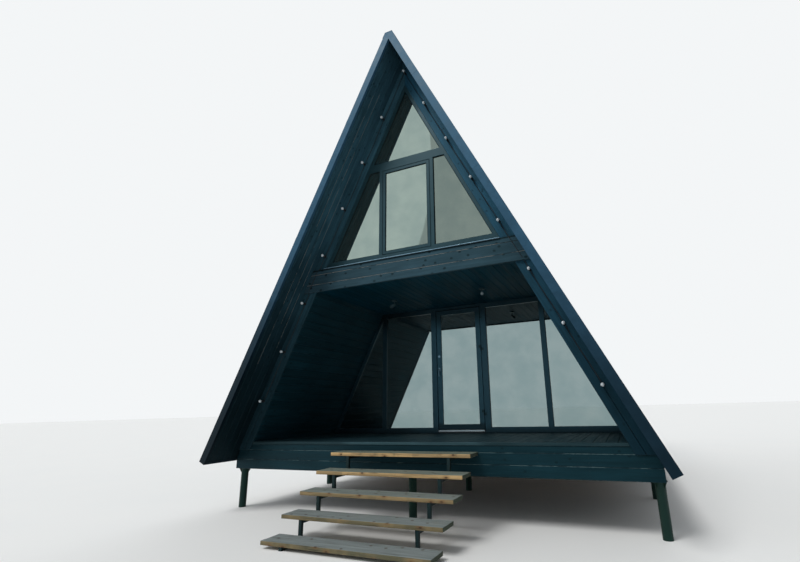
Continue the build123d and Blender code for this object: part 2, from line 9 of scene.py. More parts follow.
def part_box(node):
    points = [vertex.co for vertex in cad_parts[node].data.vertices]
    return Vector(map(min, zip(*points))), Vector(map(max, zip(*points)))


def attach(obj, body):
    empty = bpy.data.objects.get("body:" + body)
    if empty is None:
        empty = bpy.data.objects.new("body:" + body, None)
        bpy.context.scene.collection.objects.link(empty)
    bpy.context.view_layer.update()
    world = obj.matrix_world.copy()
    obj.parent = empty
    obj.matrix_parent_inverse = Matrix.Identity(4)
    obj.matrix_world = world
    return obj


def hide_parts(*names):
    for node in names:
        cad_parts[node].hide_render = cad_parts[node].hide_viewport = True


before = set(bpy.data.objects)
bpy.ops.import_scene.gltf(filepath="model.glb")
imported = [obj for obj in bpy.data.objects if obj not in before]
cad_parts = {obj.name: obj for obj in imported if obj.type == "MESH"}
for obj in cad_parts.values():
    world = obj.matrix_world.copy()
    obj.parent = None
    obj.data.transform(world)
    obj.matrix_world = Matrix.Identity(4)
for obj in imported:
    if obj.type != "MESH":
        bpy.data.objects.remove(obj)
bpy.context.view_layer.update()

# Directions: from front to back, from left to right, and up
LENGTH, WIDTH, HEIGHT = (0, 1, 0), (1, 0, 0), (0, 0, 1)

# Sizes in metres, the same as the solids
PITCH = math.radians(64.4)
HALF_WIDTH = 3.0
FRONT = -3.0525
DECK_LINE = 0.9505
DECK_TOP = DECK_LINE + 0.038
APEX = DECK_LINE + HALF_WIDTH * math.tan(PITCH)
CASING = 0.2
CEILING = DECK_LINE + 2.37
BEAM_BOTTOM = CEILING - 0.022
BEAM_TOP = BEAM_BOTTOM + 0.366
BEAM_PROUD = 0.04
WINDOW_EDGE = 0.055
WINDOW_BOTTOM = BEAM_TOP + 0.106
WINDOW_FRONT = FRONT + 0.01
TOP_HALF = 0.6
WINDOW_TIP = APEX - (CASING + WINDOW_EDGE) / math.cos(PITCH)
TRANSOM_TOP = WINDOW_TIP - TOP_HALF * math.tan(PITCH)
TRANSOM_BOTTOM = TRANSOM_TOP - 0.14
SASH_HALF = 0.42
SASH_BOTTOM = WINDOW_BOTTOM - 0.023
SASH_TOP = TRANSOM_BOTTOM - 0.013
MULLION = 0.06
VERGE_TOP = 0.108
VERGE_LOWEST = -0.004
OVERHANG = 0.56
BODY_LENGTH = 7.0
EAVE_DROP = 0.25
SLOPE_LENGTH = (HALF_WIDTH * math.tan(PITCH) + EAVE_DROP) / math.sin(PITCH)

# Details that the solids leave out
NAIL_RADIUS, NAIL_HEIGHT, NAIL_PITCH = 0.0045, 0.0008, 0.6
TONGUE_HALF, TONGUE_FRONT, TONGUE_BACK = 0.0018, 0.0016, 0.0024
LAP_LENGTH, LAP_PROUD, LAP_PITCH = 0.06, 0.0015, 2.05

# How near to each other two corners become one, and a distance past the whole cabin
MERGED = 1e-5
FAR = 10.0

# Unit vectors down each slope and square out of it: 1 is the right slope, -1 the left
DOWN = {side: Vector((side * math.cos(PITCH), 0, -math.sin(PITCH))) for side in (1, -1)}
OUT = {side: Vector((side * math.sin(PITCH), 0, math.cos(PITCH))) for side in (1, -1)}


def slope_point(side, down, offset, y):
    """A point on a slope: distance down it from the apex, and square offset outwards."""
    return Vector((0, y, APEX)) + DOWN[side] * down + OUT[side] * offset


def slope_x(z, offset):
    """How far from the middle a slope, or a line at a square offset from it, is at a height."""
    return (APEX - z) / math.tan(PITCH) + offset / math.sin(PITCH)


def steps_between(start, end, pitch):
    """Even places between two ends, both kept."""
    count = max(1, round((end - start) / pitch))
    return [start + (end - start) * k / count for k in range(count + 1)]


# Materials


class Tree:
    """A node tree; each input may be given a number, a colour or another node's output."""

    def __init__(self, tree):
        self.tree = tree
        tree.nodes.clear()

    def add(self, kind, inputs=None, **settings):
        node = self.tree.nodes.new(kind)
        for key, value in settings.items():
            setattr(node, key, value)
        for key, value in (inputs or {}).items():
            self.put(node.inputs[key.replace("_", " ") if isinstance(key, str) else key], value)
        return node

    def put(self, socket, value):
        if isinstance(value, bpy.types.NodeSocket):
            self.tree.links.new(value, socket)
        elif isinstance(value, tuple) and len(value) == 3 and socket.type == "RGBA":
            socket.default_value = (*value, 1)
        else:
            socket.default_value = value

    def math(self, operation, a, b=0.0):
        return self.add("ShaderNodeMath", {0: a, 1: b}, operation=operation).outputs[0]

    def times(self, a, b):
        return self.math("MULTIPLY", a, b)

    def plus(self, a, b):
        return self.math("ADD", a, b)

    def dot(self, a, b):
        return self.add("ShaderNodeVectorMath", {0: a, 1: b}, operation="DOT_PRODUCT").outputs["Value"]

    def join(self, x, y, z=0.0):
        return self.add("ShaderNodeCombineXYZ", {0: x, 1: y, 2: z}).outputs[0]

    def span(self, value, low, high, to_low=0.0, to_high=1.0, smooth=True):
        """A value from low to high turned into one from to_low to to_high, and held beyond them."""
        inputs = {0: value, 1: low, 2: high, 3: to_low, 4: to_high}
        kind = "SMOOTHSTEP" if smooth else "LINEAR"
        return self.add("ShaderNodeMapRange", inputs, interpolation_type=kind).outputs[0]

    def noise(self, vector, scale, detail=4.0, roughness=0.55, distortion=0.0):
        inputs = {"Vector": vector, "Scale": scale, "Detail": detail}
        inputs.update({"Roughness": roughness, "Distortion": distortion})
        return self.add("ShaderNodeTexNoise", inputs).outputs[0]

    def mix(self, share, a, b, kind="MIX"):
        node = self.add("ShaderNodeMix", {0: share, 6: a, 7: b}, data_type="RGBA", blend_type=kind)
        return node.outputs[2]

    def shade(self, colour, value):
        """A colour made darker or lighter by a number."""
        return self.mix(1.0, colour, self.join(value, value, value), "MULTIPLY")


class Finish(Tree):
    """One material: a shader with its fixed inputs, and what its nodes read of the surface."""

    def __init__(self, name, **fixed):
        self.material = bpy.data.materials.new(name)
        self.material.use_nodes = True
        super().__init__(self.material.node_tree)
        self.shader = self.add("ShaderNodeBsdfPrincipled", fixed)
        self.add("ShaderNodeOutputMaterial", {0: self.shader.outputs[0]})
        self.place = self.add("ShaderNodeTexCoord").outputs["Object"]
        self.x, self.y, self.height = self.add("ShaderNodeSeparateXYZ", {0: self.place}).outputs[:3]
        self.geometry = self.add("ShaderNodeNewGeometry")
        self.island = self.geometry.outputs["Random Per Island"]

    def surface(self, colour, roughness, height, distance, strength):
        """Sets the shader's colour, roughness and bump, and gives the finished material."""
        self.put(self.shader.inputs["Base Color"], colour)
        self.put(self.shader.inputs["Roughness"], roughness)
        bump = self.add("ShaderNodeBump", {"Height": height, "Distance": distance, "Strength": strength})
        self.put(self.shader.inputs["Normal"], bump.outputs[0])
        return self.material

    def facing(self):
        """The three parts of the direction in which the surface faces."""
        return self.add("ShaderNodeSeparateXYZ", {0: self.geometry.outputs["Normal"]}).outputs

    def painted_light_by_height(self, foot, head, curve=1.0, top=7.1, soft=False):
        """Painted light: a number that changes from the foot of the slopes up to a height, the same above
        it.
        """
        ragged = self.span(self.noise(self.place, 1.1, 3.0), 0.3, 0.7, -0.3, 0.3)
        level = self.span(self.plus(self.height, ragged), 0.6, top, smooth=soft)
        return self.span(self.math("POWER", level, curve), 0.0, 1.0, foot, head, smooth=False)

    def painted_shade(self, tone, shaded):
        """Painted shade: a tone made darker past the first height of each pair, and not past the second."""
        for dark, light in shaded:
            tone = self.times(tone, self.span(self.height, dark, light, 0.2, 1.0))
        return tone

    def edges(self, radius):
        """Near 1 at convex edges within a radius, and 0 elsewhere."""
        bevel = self.add("ShaderNodeBevel", {"Radius": radius}, samples=4).outputs[0]
        return self.span(self.dot(bevel, self.geometry.outputs["Normal"]), 0.985, 0.86)

    def board(self, along, across):
        """Coordinates along the boards, across them and into them, shifted from board to board."""
        along, across = Vector(along), Vector(across)
        u, v, w = (self.dot(self.place, tuple(way)) for way in (along, across, along.cross(across)))
        shift = self.times(self.island, 53.0)
        return self.plus(u, shift), self.plus(v, shift), w

    def grain(self, board, along, across, *look):
        """A noise drawn out along the boards: how fine it is along and across, then detail and the rest."""
        u, v, w = board
        drawn_out = self.join(self.times(u, along), self.times(v, across), self.times(w, across))
        return self.noise(drawn_out, 1.0, *look)

    def cells(self, place, dimensions):
        """Cells in a plane or along a line: a random number for each, and the distance from its middle."""
        inputs = {"W" if dimensions == "1D" else "Vector": place, "Scale": 1.0}
        node = self.add("ShaderNodeTexVoronoi", inputs, voronoi_dimensions=dimensions)
        chance = self.add("ShaderNodeSeparateColor", {0: node.outputs["Color"]}).outputs[0]
        return chance, node.outputs["Distance"]

    def knots(self, place, share, size, bend, ragged):
        """Knots in a share of a plane's cells, and the grain that bends round them."""
        chance, distance = self.cells(place, "2D")
        chosen = self.span(chance, 1.0 - share, 1.02 - share)
        fineness, depth = ragged
        reach = self.plus(distance, self.times(self.noise(self.place, fineness, 2.0), depth))
        return (self.times(self.span(reach, *ends), chosen) for ends in (size, bend))


def timber(
    name, colour, along, across, rough=0.55, grain=0.3, knots=0.4, knot_tone=0.45, knot_size=0.14,
    wear=0.3, bare=(0.12, 0.11, 0.09), rise=None, shaded=(), painted=True, trodden=False, sheen=0.22,
):
    """Boards: grain and knots that show through the paint, small variation, worn edges.

    rise paints light and shade that change with the height, shaded paints shade near some heights,
    and trodden keeps it light only where feet pass.
    """
    tint = (0.3, 0.8, 1.0) if painted else (1.0, 1.0, 1.0)
    m = Finish(name, Specular_IOR_Level=sheen, Specular_Tint=tint)
    board = m.board(along, across)
    broad = m.grain(board, 1.3, 22.0, 5.0, 0.6, 0.6)
    fine = m.grain(board, 6.0, 190.0, 3.0)
    knot_edge = (knot_size + 0.025, knot_size - 0.025)
    spots = m.join(m.times(board[0], 5.2), m.times(board[1], 7.0))
    knot, bend = m.knots(spots, knots, knot_edge, (0.34, 0.1), ragged=(38.0, 0.09))
    streak = m.span(broad, 0.3, 0.7, 1.0 - grain, 1.0 + grain)
    tone = m.plus(streak, m.span(fine, 0.35, 0.65, -grain / 3, grain / 3))
    tone = m.times(tone, m.span(m.island, 0.0, 1.0, 0.86, 1.14, smooth=False))
    tone = m.times(tone, m.span(knot, 0.0, 1.0, 1.0, knot_tone))
    tone = m.times(tone, m.span(m.noise(m.place, 1.7, 3.0), 0.3, 0.7, 0.86, 1.14))
    # Painted light and shade that change with the height, then painted shade near some heights
    if rise:
        tone = m.times(tone, m.painted_light_by_height(**rise))
    tone = m.painted_shade(tone, shaded)
    if trodden:
        aside = m.plus(m.math("ABSOLUTE", m.x), m.times(m.noise(m.place, 3.0), 0.3))
        tone = m.times(tone, m.span(aside, 1.0, 1.35, 1.0, 0.42))
    rubbed = m.times(m.edges(0.004), m.span(m.noise(m.place, 17.0, 4.0), 0.42, 0.62))
    colour = m.mix(m.times(rubbed, wear), m.shade(colour, tone), bare)
    roughness = m.span(broad, 0.25, 0.75, rough - 0.09, rough + 0.1)
    height = m.plus(m.times(broad, 0.55), m.times(fine, 0.4))
    height = m.math("SUBTRACT", height, m.times(bend, 0.25))
    return m.surface(colour, roughness, height, 0.0016, 0.55)


def coated_metal(
    name, colour, rough=0.42, wave=0.004, metallic=0.0, sheen=0.3, dust=(0.16, 0.17, 0.16), worn=0.25,
    settled=0.1, rise=None, shaded=(), rain=0.0, underside=1.0, topside=1.0, painted_left_shade=None,
):
    """Painted sheet or tube: slight waves, fine texture of the coat, dust, dull streaks and rubbed edges.

    rise paints light and shade that change with the height, and shaded paints shade near some heights.
    rain adds streaks. underside paints shade on faces that look down; topside changes the tone of faces
    that look up. lee paints shade between two places from right to left, and past them by the factor that
    follows.
    """
    m = Finish(name, Metallic=metallic, Specular_IOR_Level=sheen, Specular_Tint=(0.45, 0.82, 1.0))
    large = m.noise(m.place, 1.3, 2.0)
    cloud = m.noise(m.place, 5.0, 6.0, 0.65)
    grit = m.noise(m.place, 420.0, 2.0)
    tone = m.plus(m.span(cloud, 0.3, 0.7, 0.84, 1.12), m.span(grit, 0.3, 0.7, -0.04, 0.04))
    # Painted light and shade that change with the height, then painted shade near some heights
    if rise:
        tone = m.times(tone, m.painted_light_by_height(**rise))
    tone = m.painted_shade(tone, shaded)
    upwards = m.facing()[2]
    # Painted shade on faces that look down
    if underside != 1.0:
        tone = m.times(tone, m.span(upwards, -0.6, -0.2, underside, 1.0))
    if topside != 1.0:
        tone = m.times(tone, m.span(upwards, 0.1, 0.35, 1.0, topside))
    # Painted shade towards the left
    if painted_left_shade:
        start, end, factor = painted_left_shade
        tone = m.times(tone, m.span(m.x, start, end, 1.0, factor))
    dirt = m.times(m.span(cloud, 0.52, 0.8), settled)
    if rain:
        drawn_out = m.join(m.times(m.y, 11.0), m.times(m.height, 0.5), m.times(m.x, 0.2))
        runs = m.noise(drawn_out, 1.0, 6.0, 0.65)
        tone = m.times(tone, m.span(runs, 0.3, 0.7, 1.0 - rain, 1.0 + rain))
        low_down = m.span(m.height, 3.5, 0.8, 0.0, rain * 0.4)
        dirt = m.math("MAXIMUM", dirt, m.times(m.span(runs, 0.55, 0.75), low_down))
    rubbed = m.times(m.edges(0.003), m.span(m.noise(m.place, 25.0, 4.0), 0.4, 0.65))
    coat = m.mix(dirt, m.shade(colour, tone), dust)
    coat = m.mix(m.times(rubbed, worn), coat, dust)
    roughness = m.span(cloud, 0.25, 0.75, rough - 0.07, rough + 0.1)
    millimetres = m.plus(m.times(large, wave * 1000), m.times(grit, 0.02))
    return m.surface(coat, roughness, millimetres, 0.001, 0.6)


def tread_timber(name):
    """Planks left to the weather: grey tops, ochre knotty edges, dark ends and checks, soiled lower down."""
    m = Finish(name, Specular_IOR_Level=0.25)
    board = m.board(WIDTH, LENGTH)
    u, v, w = board
    broad = m.grain(board, 1.6, 26.0, 6.0, 0.62, 0.8)
    fine = m.grain(board, 5.0, 230.0, 3.0)
    check = m.span(m.grain(board, 2.2, 95.0, 2.0, 0.5, 0.4), 0.62, 0.70)
    stretch, _ = m.cells(m.times(u, 2.3), "1D")
    spots = m.join(m.times(u, 5.4), m.times(m.plus(v, m.times(w, 1.7)), 6.0))
    knot, bend = m.knots(spots, 0.5, (0.17, 0.12), (0.42, 0.12), ragged=(60.0, 0.1))
    cloud = m.noise(m.place, 3.1, 5.0, 0.6)
    stain = m.span(m.noise(m.place, 9.0, 6.0, 0.75), 0.5, 0.68)
    facing = m.facing()
    end = m.span(m.math("ABSOLUTE", facing[0]), 0.55, 0.8)
    top = m.times(m.span(facing[2], 0.35, 0.85), m.span(cloud, 0.2, 0.45, 0.85, 1.0))
    soiled = m.span(m.height, 0.95, 0.15)
    grey = m.mix(soiled, (0.132, 0.158, 0.124), (0.190, 0.220, 0.220))
    grey = m.shade(grey, m.span(broad, 0.28, 0.72, 0.74, 1.2))
    ochre = m.mix(stretch, (0.56, 0.37, 0.170), (0.36, 0.25, 0.125))
    ochre = m.shade(ochre, m.span(broad, 0.28, 0.72, 0.68, 1.25))
    weathered = m.times(soiled, m.span(cloud, 0.3, 0.6, 0.7, 1.0))
    weathered = m.math("MAXIMUM", m.times(stain, 0.55), weathered)
    ochre = m.mix(weathered, ochre, m.shade((0.094, 0.090, 0.054), m.span(fine, 0.3, 0.7, 0.75, 1.3)))
    ochre = m.mix(m.times(bend, 0.5), ochre, (0.17, 0.075, 0.026))
    end_grain = m.shade((0.052, 0.066, 0.048), m.span(m.noise(m.place, 160.0, 3.0), 0.3, 0.7, 0.5, 1.6))
    colour = m.mix(end, m.mix(top, ochre, grey), end_grain)
    colour = m.shade(colour, m.span(m.island, 0.0, 1.0, 0.93, 1.07, smooth=False))
    colour = m.mix(m.times(knot, 0.85), colour, (0.045, 0.026, 0.014))
    colour = m.mix(m.times(check, 0.8), colour, (0.03, 0.028, 0.022))
    height = m.plus(m.times(broad, 0.7), m.times(fine, 0.45))
    height = m.math("SUBTRACT", height, m.times(check, 1.1))
    return m.surface(colour, m.span(fine, 0.3, 0.7, 0.72, 0.9), height, 0.002, 0.7)


def bare_tongue(name, wood, least):
    """The tongue between two boards: pale where the wood has stayed bare, painted elsewhere."""
    m = Finish(name, Specular_IOR_Level=0.2)
    bare = m.span(m.noise(m.place, 3.4, 3.0, 0.6), least, least + 0.09)
    grain = m.noise(m.place, 54.0, 4.0, 0.7)
    wood = m.shade(wood, m.span(grain, 0.3, 0.7, 0.6, 1.25))
    colour = m.mix(bare, (0.010, 0.024, 0.03), wood)
    return m.surface(colour, m.span(grain, 0.3, 0.7, 0.7, 0.85), grain, 0.0006, 0.5)


def mirror_glass(name, clear, hazy, film=0.0):
    """Coated glazing: it mirrors most of the light, and a film of dust hides more of the inside."""
    m = Finish(name, Metallic=0.85, IOR=1.5, Transmission_Weight=1.0 - film)
    colour = m.mix(m.span(m.noise(m.place, 2.3, 4.0), 0.3, 0.7), clear, hazy)
    roughness = m.span(m.noise(m.place, 9.0, 5.0), 0.45, 0.8, 0.015, 0.06)
    return m.surface(colour, roughness, m.noise(m.place, 0.9, 1.0), 0.0025, 0.35)


def moulded(name, colour, rough, grit=0.03, coat=0.0, sheen=0.35, tint=(1.0, 1.0, 1.0)):
    """Rubber, plastic or opal glass with a fine texture and slight change of tone."""
    m = Finish(name, Coat_Weight=coat, Specular_IOR_Level=sheen, Specular_Tint=tint)
    cloud = m.noise(m.place, 11.0, 4.0)
    colour = m.shade(colour, m.span(cloud, 0.3, 0.7, 1.0 - 4 * grit, 1.0 + 2 * grit))
    roughness = m.span(cloud, 0.3, 0.7, rough - 0.04, rough + 0.06)
    return m.surface(colour, roughness, m.noise(m.place, 700.0, 2.0), 0.0002, 0.4)


PAINT = (0.0034, 0.0150, 0.0205)
CORE_PAINT = (0.0045, 0.0165, 0.0225)
LINING_PAINT = (0.0052, 0.0245, 0.0350)
# Painted light: the soffits grow lighter higher up, faster near the top
SOFFIT = dict(
    colour=(0.0200, 0.0530, 0.0740), across=LENGTH, rise=dict(foot=0.1, head=1.4, curve=2.2, top=4.2)
)
timbers = {
    "frame_timber": dict(
        colour=(0.130, 0.108, 0.072), along=WIDTH, across=HEIGHT, rough=0.75, bare=(0.2, 0.165, 0.11),
        painted=False,
    ),
    "deck_timber": dict(
        colour=(0.0060, 0.0165, 0.0210), along=LENGTH, across=WIDTH, rough=0.6, wear=0.6,
        bare=(0.06, 0.08, 0.085),
    ),
    "nosing_timber": dict(
        colour=(0.0290, 0.0580, 0.0680), along=WIDTH, across=HEIGHT, rough=0.6, grain=0.28, trodden=True
    ),
    "floor_timber": dict(
        colour=(0.36, 0.25, 0.145), along=LENGTH, across=WIDTH, rough=0.5, grain=0.25, bare=(0.4, 0.3, 0.2),
        painted=False,
    ),
    "skirt_timber": dict(
        colour=PAINT, along=WIDTH, across=HEIGHT, rough=0.5, wear=0.85, bare=(0.10, 0.15, 0.165)
    ),
    "panel_core": dict(colour=CORE_PAINT, along=LENGTH, across=HEIGHT),
    "roof_deck_timber": dict(colour=CORE_PAINT, along=LENGTH, across=HEIGHT),
    "lining_right": dict(colour=LINING_PAINT, along=LENGTH, across=DOWN[1]),
    "lining_left": dict(colour=LINING_PAINT, along=LENGTH, across=DOWN[-1]),
    "ceiling_timber": dict(colour=(0.0020, 0.0270, 0.0430), along=LENGTH, across=WIDTH, sheen=0.1),
    "soffit_right": dict(SOFFIT, along=DOWN[1]),
    "soffit_left": dict(SOFFIT, along=DOWN[-1]),
    # Painted light and shade on one paint: the casings differ in colour and in how they grow lighter higher
    # up
    "casing_right": dict(
        colour=(0.0115, 0.0470, 0.0780), along=DOWN[1], across=OUT[1],
        rise=dict(foot=0.12, head=1.38, top=4.6),
    ),
    "casing_left": dict(
        colour=(0.0150, 0.0410, 0.0560), along=DOWN[-1], across=OUT[-1], rise=dict(foot=0.3, head=2.2)
    ),
    "cladding": dict(colour=PAINT, along=WIDTH, across=HEIGHT, rise=dict(foot=1.0, head=2.2)),
    # The beam's top strip under the sill is made darker: a painted shadow of the sill's lip
    "beam_timber": dict(
        colour=(0.0190, 0.0400, 0.0540), along=WIDTH, across=HEIGHT, rough=0.5, grain=0.22, knots=0.75,
        knot_tone=0.15, knot_size=0.165, shaded=[(BEAM_TOP - 0.014, BEAM_TOP - 0.03)] * 2,
    ),
}
TRIM = dict(
    colour=(0.0320, 0.0920, 0.1560), rough=0.4, wave=0.003, sheen=0.13, dust=(0.05, 0.07, 0.08), worn=0.1,
    settled=0.04, topside=0.4,
)
PAINTED_FRAME = dict(rough=0.4, wave=0.0005, dust=(0.05, 0.075, 0.09), settled=0.06)
metals = {
    "piles_steel": dict(colour=(0.0065, 0.0200, 0.0110), rough=0.5, wave=0.0008, dust=(0.05, 0.055, 0.045)),
    "roof_metal": dict(colour=(0.016, 0.038, 0.050), rough=0.45, wave=0.006, settled=0.08, rain=0.32),
    # Painted light: the trims grow lighter higher up; the front verges also get painted shade at their lower
    # left
    "trim_metal": dict(TRIM, rise=dict(foot=0.08, head=0.9, top=4.9, soft=True)),
    "verge_metal": dict(TRIM, rise=dict(foot=0.13, head=0.9, top=4.9, soft=True), painted_left_shade=(-1.8, -2.5, 0.35)),
    # The sill's pale colour shows only along the top edge of its lip, a painted highlight; the rest of the
    # lip and its underside get painted shade
    "sill_metal": dict(
        colour=(0.370, 0.600, 0.780), rough=0.3, wave=0.001, worn=0.05, underside=0.05,
        shaded=[(BEAM_TOP - 0.0015, BEAM_TOP + 0.0005)] * 2,
    ),
    "threshold_metal": dict(
        colour=(0.74, 0.90, 0.97), rough=0.4, wave=0.0003, metallic=0.2, dust=(0.5, 0.6, 0.65), worn=0.1,
        settled=0.05,
    ),
    "window_frame": dict(PAINTED_FRAME, colour=(0.0100, 0.0290, 0.0360)),
    # Painted shade: the glass wall's frames grow darker to the left, under the ceiling and near the deck
    "glazing_paint": dict(
        PAINTED_FRAME, colour=(0.0280, 0.0820, 0.1150), painted_left_shade=(-0.7, -1.3, 0.3),
        shaded=[(CEILING - 0.1, CEILING - 0.5), (DECK_TOP - 0.02, DECK_TOP + 0.16)],
    ),
    # Painted shade: the door grows darker under the ceiling and at its foot
    "door_paint": dict(
        PAINTED_FRAME, colour=(0.0330, 0.0980, 0.1370),
        shaded=[(CEILING - 0.15, CEILING - 0.55), (DECK_TOP + 0.13, DECK_TOP + 0.2)],
    ),
    "fitting_metal": dict(
        colour=(0.20, 0.34, 0.44), rough=0.36, wave=0.0002, metallic=0.55, dust=(0.16, 0.2, 0.22), worn=0.1
    ),
    "screw_steel": dict(colour=(0.012, 0.022, 0.028), rough=0.4, wave=0.0001, metallic=0.5),
    "stringer_steel": dict(
        colour=(0.0070, 0.0140, 0.0130), rough=0.5, wave=0.0005, dust=(0.06, 0.05, 0.035), worn=0.5
    ),
}
mouldings = {
    "lamp_plastic": dict(colour=(0.026, 0.046, 0.054), rough=0.42, sheen=0.25, tint=(0.5, 0.85, 1.0)),
    "lens_glass": dict(colour=(0.17, 0.22, 0.25), rough=0.2, grit=0.012, coat=0.3),
    "bulb_glass": dict(colour=(0.60, 0.66, 0.70), rough=0.22, grit=0.012, coat=0.5),
    "holder_rubber": dict(colour=(0.010, 0.012, 0.014), rough=0.55),
    "gasket": dict(colour=(0.004, 0.009, 0.011), rough=0.6, sheen=0.12, tint=(0.4, 0.8, 1.0)),
    "sill_black": dict(colour=(0.012, 0.022, 0.028), rough=0.5),
}
tongue_woods = {
    "bare_tongue": dict(wood=(0.27, 0.262, 0.236), least=0.37),
    "joint_edge": dict(wood=(0.12, 0.195, 0.205), least=0.44),
}
glasses = {
    "window_glass": dict(clear=(0.28, 0.38, 0.385), hazy=(0.34, 0.43, 0.43)),
    "upper_glass_pane": dict(clear=(0.19, 0.245, 0.225), hazy=(0.23, 0.285, 0.255), film=0.35),
}
materials = {"tread_timber": tread_timber("tread_timber")}
kinds = (
    (timber, timbers), (coated_metal, metals), (moulded, mouldings), (bare_tongue, tongue_woods),
    (mirror_glass, glasses),
)
for finish, looks in kinds:
    materials.update({name: finish(name, **look) for name, look in looks.items()})


# Mesh work


def cad_copy(node):
    """A CAD node's mesh with its seams joined and flat faces whole."""
    bm = bmesh.new()
    bm.from_mesh(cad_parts[node].data)
    bmesh.ops.remove_doubles(bm, verts=bm.verts, dist=MERGED)
    bmesh.ops.dissolve_limit(bm, angle_limit=math.radians(0.4), verts=bm.verts, edges=bm.edges)
    return bm


def ease_edges(bm, width):
    """Chamfers the sharp edges."""
    sharp = math.radians(28)
    edges = [e for e in bm.edges if len(e.link_faces) == 2 and e.calc_face_angle(0) > sharp]
    if edges and width:
        bmesh.ops.bevel(
            bm, geom=edges, offset=width, segments=1, profile=0.6, affect="EDGES", clamp_overlap=True
        )


def cut_between(bm, axis, low, high):
    """The part of a solid between two planes, as a closed mesh of its own."""
    part = bm.copy()
    for at, keep in ((low, "clear_inner"), (high, "clear_outer")):
        geom = part.verts[:] + part.edges[:] + part.faces[:]
        bmesh.ops.bisect_plane(part, geom=geom, plane_co=axis * at, plane_no=axis, **{keep: True})
        rim = [e for e in part.edges if e.is_boundary]
        if rim:
            bmesh.ops.edgenet_fill(part, edges=rim)
    bmesh.ops.recalc_face_normals(part, faces=part.faces)
    return part


def add_to(target, part):
    """Joins one mesh into another and frees it."""
    mesh = bpy.data.meshes.new("part")
    part.to_mesh(mesh)
    target.from_mesh(mesh)
    bpy.data.meshes.remove(mesh)
    part.free()


def split(bm, axis, pitch, gap, ease, start=None):
    """Boards cut from one solid, side by side along an axis."""
    narrowest = 0.012
    axis = Vector(axis)
    spots = [v.co.dot(axis) for v in bm.verts]
    low, high = min(spots), max(spots)
    at = low if start is None else start
    made = bmesh.new()
    while at < high - 1e-4:
        end = min(at + pitch - gap, high)
        if end - max(at, low) > narrowest:
            part = cut_between(bm, axis, max(at, low - 1), end if end < high else high + 1)
            ease_edges(part, ease)
            add_to(made, part)
        at += pitch
    bm.free()
    return made


def block(bm, low, high):
    """A square-edged box between two corners."""
    part = bmesh.new()
    bmesh.ops.create_cube(part, size=1.0)
    low, high = Vector(low), Vector(high)
    for vert in part.verts:
        vert.co = (low + high) / 2 + Vector(c * s for c, s in zip(vert.co, high - low))
    add_to(bm, part)


def sloping(bm, side, down, offset, y):
    """A box that lies on a slope, between pairs of distances down it, outwards and back."""
    part = bmesh.new()
    bmesh.ops.create_cube(part, size=1.0)
    for vert in part.verts:
        a, b, c = (pair[0] if at < 0 else pair[1] for at, pair in zip(vert.co, (down, offset, y)))
        vert.co = slope_point(side, a, b, c)
    add_to(bm, part)


def tongue(bm, reach, face, z, half=TONGUE_HALF):
    """A strip in the joint between two level boards, just behind their faces."""
    block(bm, (-reach, face + TONGUE_FRONT, z - half), (reach, face + TONGUE_BACK, z + half))


def loft(bm, near, far, ease=0.0):
    """A solid between two outlines of as many points."""
    part = bmesh.new()
    near, far = ([part.verts.new(point) for point in outline] for outline in (near, far))
    part.faces.new(near)
    part.faces.new(far[::-1])
    for i in range(len(near)):
        j = (i + 1) % len(near)
        part.faces.new((near[i], far[i], far[j], near[j]))
    bmesh.ops.recalc_face_normals(part, faces=part.faces)
    ease_edges(part, ease)
    add_to(bm, part)


def prism(bm, outline, y_start, y_end, ease=0.0):
    """A solid with an (x, z) outline between two distances from the front."""
    loft(bm, [(x, y_start, z) for x, z in outline], [(x, y_end, z) for x, z in outline], ease)


def inset(outline, distance):
    """An (x, z) outline moved inwards by a distance; the outline goes round either way."""
    points = [Vector(p) for p in outline]
    area = sum(a.x * b.y - b.x * a.y for a, b in zip(points, points[1:] + points[:1]))
    turn = 1 if area > 0 else -1
    lines = []
    for a, b in zip(points, points[1:] + points[:1]):
        d = (b - a).normalized()
        n = Vector((-d.y, d.x)) * turn
        lines.append((a + n * distance, d))
    result = []
    for (p, d), (q, e) in zip(lines[-1:] + lines[:-1], lines):
        cross = d.x * e.y - d.y * e.x
        t = ((q.x - p.x) * e.y - (q.y - p.y) * e.x) / cross
        result.append(tuple(p + d * t))
    return result


def ring(bm, outline, width, y_start, y_end):
    """A frame of even width inside an (x, z) outline, mitred at its corners."""
    inner = inset(outline, width)
    for i in range(len(outline)):
        j = (i + 1) % len(outline)
        prism(bm, [outline[i], outline[j], inner[j], inner[i]], y_start, y_end)


def circle(centre, first, second, radius, steps):
    """Points round a centre, from one direction towards another that is square to it."""
    angles = [2 * math.pi * k / steps for k in range(steps)]
    return [centre + (first * math.cos(a) + second * math.sin(a)) * radius for a in angles]


def skin(bm, rows):
    """A smooth skin over rows of points round a middle line; an end row of one point is a tip."""
    rows = [[bm.verts.new(point) for point in row] for row in rows]
    for a, b in zip(rows, rows[1:]):
        steps = max(len(a), len(b))
        for k in range(steps):
            n = (k + 1) % steps
            corners = [a[k % len(a)], a[n % len(a)], b[n % len(b)], b[k % len(b)]]
            corners = [c for i, c in enumerate(corners) if c not in corners[:i]]
            if len(corners) > 2:
                bm.faces.new(corners).smooth = True
    for row, flip in ((rows[0], True), (rows[-1], False)):
        if len(row) > 1:
            bm.faces.new(row[::-1] if flip else row)


def turned(bm, profile, place, axis=(0, -1, 0), steps=20):
    """A round piece from (distance along the axis, radius) points; a radius of 0 makes a tip."""
    turn = Vector(axis).normalized().to_track_quat("Z", "Y").to_matrix()
    first, second, ahead = (turn @ Vector(way) for way in (WIDTH, LENGTH, HEIGHT))
    rows = []
    for along, radius in profile:
        centre = place + ahead * along
        rows.append(circle(centre, first, second, radius, steps) if radius else [centre])
    skin(bm, rows)


